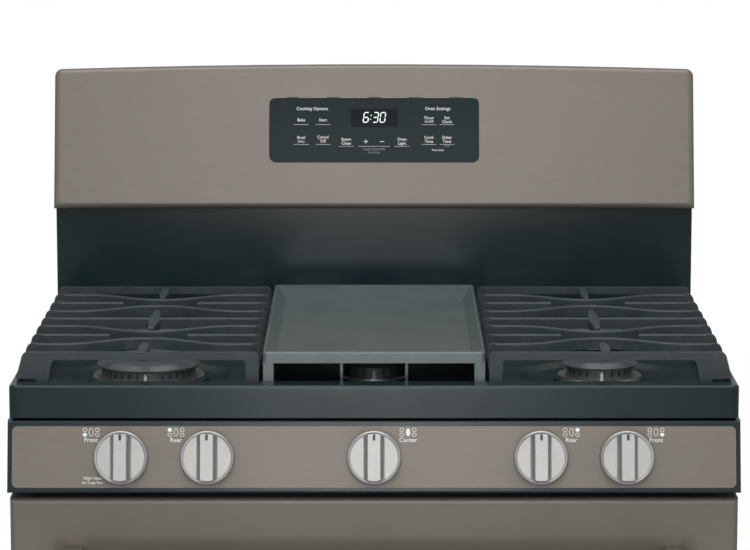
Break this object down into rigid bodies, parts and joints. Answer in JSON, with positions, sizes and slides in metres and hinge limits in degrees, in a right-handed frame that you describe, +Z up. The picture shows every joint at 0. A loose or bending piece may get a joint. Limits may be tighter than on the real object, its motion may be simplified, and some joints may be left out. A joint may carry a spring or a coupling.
{
  "type": "freestanding gas range",
  "caption": "Freestanding kitchen gas range with cast-iron grates and griddle, knob panel, backguard controls, oven door and storage drawer.",
  "frame": {"origin": "centre of the range's footprint on the floor", "axes": "+Z up, front faces -Y, +X to the cook's right"},
  "size_m": [0.759, 0.73, 1.1992],
  "materials": {
    "slate_finish": "satin slate finish on steel",
    "dark_enamel": "glossy dark enamel",
    "body_paint": "painted sheet steel",
    "zinc_sheet": "galvanised sheet",
    "feet_steel": "zinc plated, nylon pads",
    "oven_enamel": "speckled porcelain enamel",
    "mineral_wool": "mineral wool blanket",
    "burner_steel": "aluminised steel tube",
    "ceramic": "white ceramic",
    "sensor_steel": "stainless steel",
    "lamp_glass": "clear lamp cover",
    "rack_wire": "nickel plated wire",
    "window_glass": "dark tempered glass",
    "handle_steel": "brushed, satin",
    "gasket_braid": "glass fibre braid",
    "drawer_steel": "painted sheet steel",
    "burner_aluminium": "die cast aluminium",
    "cap_enamel": "enamelled, matt",
    "cast_iron": "enamelled cast iron, matt",
    "griddle_iron": "coated cast iron, satin",
    "pipe_steel": "bare pipe",
    "valve_brass": "machined brass",
    "regulator_metal": "die cast",
    "knob_metal": "satin silver",
    "control_glass": "dark glass, printed behind",
    "circuit_board": "green laminate",
    "black_plastic": "moulded"
  },
  "bodies": {
    "chassis": {"backguard_fascia": "slate_finish", "manifold_panel_insert": "slate_finish", "main_top": "dark_enamel", "riser_panel": "dark_enamel", "manifold_panel": "dark_enamel", "side_panel_left": "body_paint", "side_panel_right": "body_paint", "base_frame": "body_paint", "back_panel": "zinc_sheet", "backguard_rear_cover": "zinc_sheet", "hinge_receivers": "zinc_sheet", "body_screws": "zinc_sheet", "oven_flue": "zinc_sheet", "levelling_legs": "feet_steel", "oven_liner": "oven_enamel", "oven_floor_plate": "oven_enamel", "front_frame": "oven_enamel", "oven_insulation": "mineral_wool", "bake_burner": "burner_steel", "broil_burner": "burner_steel", "oven_igniters": "ceramic", "spark_electrodes": "ceramic", "temperature_sensor": "sensor_steel", "oven_lamp": "lamp_glass", "burner_heads": "burner_aluminium", "burner_trim_rings": "burner_aluminium", "burner_caps": "cap_enamel", "gas_manifold": "pipe_steel", "burner_supply_tubes": "pipe_steel", "gas_valves": "valve_brass", "pressure_regulator": "regulator_metal", "control_glass": "control_glass", "control_board": "circuit_board", "spark_module": "black_plastic", "power_inlet_bush": "black_plastic"},
    "door": {"door_outer_panel": "slate_finish", "door_window_outer": "window_glass", "door_window_inner": "window_glass", "door_liner": "oven_enamel", "door_handle": "handle_steel", "door_handle_posts": "handle_steel", "door_gasket": "gasket_braid", "door_hinge_arms": "sensor_steel"},
    "drawer": {"drawer_front": "slate_finish", "drawer_box": "drawer_steel"},
    "rack_lower": {"rack_lower": "rack_wire"},
    "rack_upper": {"rack_upper": "rack_wire"},
    "grate_left": {"grate_left": "cast_iron"},
    "grate_right": {"grate_right": "cast_iron"},
    "griddle": {"griddle": "griddle_iron"},
    "stem_left_front": {"valve_stem_left_front": "valve_brass"},
    "knob_left_front": {"knob_left_front": "knob_metal"},
    "stem_left_rear": {"valve_stem_left_rear": "valve_brass"},
    "knob_left_rear": {"knob_left_rear": "knob_metal"},
    "stem_centre": {"valve_stem_centre": "valve_brass"},
    "knob_centre": {"knob_centre": "knob_metal"},
    "stem_right_rear": {"valve_stem_right_rear": "valve_brass"},
    "knob_right_rear": {"knob_right_rear": "knob_metal"},
    "stem_right_front": {"valve_stem_right_front": "valve_brass"},
    "knob_right_front": {"knob_right_front": "knob_metal"}
  },
  "joints": [
    {"name": "push_left_front", "type": "slide", "parent": "chassis", "child": "stem_left_front", "axis": [0, 0.9732, -0.23], "range_m": [0, 0.003], "stiffness_N_per_m": 1500, "springref_m": -0.002},
    {"name": "turn_left_front", "type": "hinge", "parent": "stem_left_front", "child": "knob_left_front", "pos_m": [-0.261, -0.31317, 0.8455], "axis": [0, -0.9732, 0.23], "range_deg": [0, 240]},
    {"name": "push_left_rear", "type": "slide", "parent": "chassis", "child": "stem_left_rear", "axis": [0, 0.9732, -0.23], "range_m": [0, 0.003], "stiffness_N_per_m": 1500, "springref_m": -0.002},
    {"name": "turn_left_rear", "type": "hinge", "parent": "stem_left_rear", "child": "knob_left_rear", "pos_m": [-0.172, -0.31317, 0.8455], "axis": [0, -0.9732, 0.23], "range_deg": [0, 240]},
    {"name": "push_centre", "type": "slide", "parent": "chassis", "child": "stem_centre", "axis": [0, 0.9732, -0.23], "range_m": [0, 0.003], "stiffness_N_per_m": 1500, "springref_m": -0.002},
    {"name": "turn_centre", "type": "hinge", "parent": "stem_centre", "child": "knob_centre", "pos_m": [0, -0.31317, 0.8455], "axis": [0, -0.9732, 0.23], "range_deg": [0, 240]},
    {"name": "push_right_rear", "type": "slide", "parent": "chassis", "child": "stem_right_rear", "axis": [0, 0.9732, -0.23], "range_m": [0, 0.003], "stiffness_N_per_m": 1500, "springref_m": -0.002},
    {"name": "turn_right_rear", "type": "hinge", "parent": "stem_right_rear", "child": "knob_right_rear", "pos_m": [0.172, -0.31317, 0.8455], "axis": [0, -0.9732, 0.23], "range_deg": [0, 240]},
    {"name": "push_right_front", "type": "slide", "parent": "chassis", "child": "stem_right_front", "axis": [0, 0.9732, -0.23], "range_m": [0, 0.003], "stiffness_N_per_m": 1500, "springref_m": -0.002},
    {"name": "turn_right_front", "type": "hinge", "parent": "stem_right_front", "child": "knob_right_front", "pos_m": [0.261, -0.31317, 0.8455], "axis": [0, -0.9732, 0.23], "range_deg": [0, 240]},
    {"name": "door_swing", "type": "hinge", "parent": "chassis", "child": "door", "pos_m": [0, -0.312, 0.23], "axis": [1, 0, 0], "range_deg": [0, 90], "stiffness_Nm_per_rad": 12, "springref_deg": -20.05},
    {"name": "drawer_slide", "type": "slide", "parent": "chassis", "child": "drawer", "axis": [0, -1, 0], "range_m": [0, 0.38]},
    {"name": "rack_lower_slide", "type": "slide", "parent": "chassis", "child": "rack_lower", "axis": [0, -1, 0], "range_m": [0, 0.05]},
    {"name": "rack_upper_slide", "type": "slide", "parent": "chassis", "child": "rack_upper", "axis": [0, -1, 0], "range_m": [0, 0.05]},
    {"name": "grate_left_lift", "type": "slide", "parent": "chassis", "child": "grate_left", "axis": [0, 0, 1], "range_m": [0, 0.1]},
    {"name": "grate_right_lift", "type": "slide", "parent": "chassis", "child": "grate_right", "axis": [0, 0, 1], "range_m": [0, 0.1]},
    {"name": "griddle_lift", "type": "slide", "parent": "chassis", "child": "griddle", "axis": [0, 0, 1], "range_m": [0, 0.1]}
  ]
}
